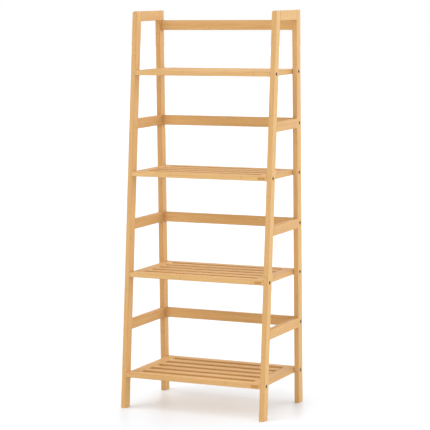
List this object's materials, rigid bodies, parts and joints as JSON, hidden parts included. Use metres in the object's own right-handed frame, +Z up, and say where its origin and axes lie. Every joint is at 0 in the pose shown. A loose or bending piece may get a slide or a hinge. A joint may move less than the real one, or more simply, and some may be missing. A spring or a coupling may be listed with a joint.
{
  "type": "ladder shelf",
  "caption": "Freestanding ladder shelf of planed bamboo: two leaning side frames carry slatted shelves that get deeper towards the floor, with rails across the back.",
  "frame": {"origin": "on the floor, in the middle of the width and of the floor depth", "axes": "+Z up, +Y towards the back (the wall side), +X to the right as seen from the front"},
  "size_m": [0.476, 0.298, 1.2],
  "materials": {
    "bamboo": "satin clear lacquer on laminated bamboo",
    "black_steel": "black oxide, dull sheen"
  },
  "bodies": {
    "root": {"bottom_shelf_front_rail": "bamboo", "bottom_shelf_left_end_rail": "bamboo", "bottom_shelf_rear_rail": "bamboo", "bottom_shelf_right_end_rail": "bamboo", "bottom_shelf_slat_1": "bamboo", "bottom_shelf_slat_2": "bamboo", "bottom_shelf_slat_3": "bamboo", "bottom_shelf_slat_4": "bamboo", "left_bottom_shelf_rear_bolt": "black_steel", "left_front_leg": "bamboo", "left_lower_back_rail_bolt": "black_steel", "left_lower_shelf_rear_bolt": "black_steel", "left_lower_side_rail": "bamboo", "left_middle_back_rail_bolt": "black_steel", "left_middle_side_rail": "bamboo", "left_rear_leg": "bamboo", "left_top_rail": "bamboo", "left_top_shelf_rear_bolt": "black_steel", "left_upper_back_rail_bolt": "black_steel", "left_upper_shelf_rear_bolt": "black_steel", "left_upper_side_rail": "bamboo", "lower_back_rail": "bamboo", "lower_shelf_front_rail": "bamboo", "lower_shelf_left_end_rail": "bamboo", "lower_shelf_rear_rail": "bamboo", "lower_shelf_right_end_rail": "bamboo", "lower_shelf_slat_1": "bamboo", "lower_shelf_slat_2": "bamboo", "lower_shelf_slat_3": "bamboo", "lower_shelf_slat_4": "bamboo", "middle_back_rail": "bamboo", "right_bottom_shelf_rear_bolt": "black_steel", "right_front_leg": "bamboo", "right_lower_back_rail_bolt": "black_steel", "right_lower_shelf_rear_bolt": "black_steel", "right_lower_side_rail": "bamboo", "right_middle_back_rail_bolt": "black_steel", "right_middle_side_rail": "bamboo", "right_rear_leg": "bamboo", "right_top_rail": "bamboo", "right_top_shelf_rear_bolt": "black_steel", "right_upper_back_rail_bolt": "black_steel", "right_upper_shelf_rear_bolt": "black_steel", "right_upper_side_rail": "bamboo", "top_back_rail": "bamboo", "top_shelf_front_rail": "bamboo", "top_shelf_left_end_rail": "bamboo", "top_shelf_rear_rail": "bamboo", "top_shelf_right_end_rail": "bamboo", "top_shelf_slat_1": "bamboo", "top_shelf_slat_2": "bamboo", "top_shelf_slat_3": "bamboo", "upper_back_rail": "bamboo", "upper_shelf_front_rail": "bamboo", "upper_shelf_left_end_rail": "bamboo", "upper_shelf_rear_rail": "bamboo", "upper_shelf_right_end_rail": "bamboo", "upper_shelf_slat_1": "bamboo", "upper_shelf_slat_2": "bamboo", "upper_shelf_slat_3": "bamboo"}
  },
  "joints": []
}
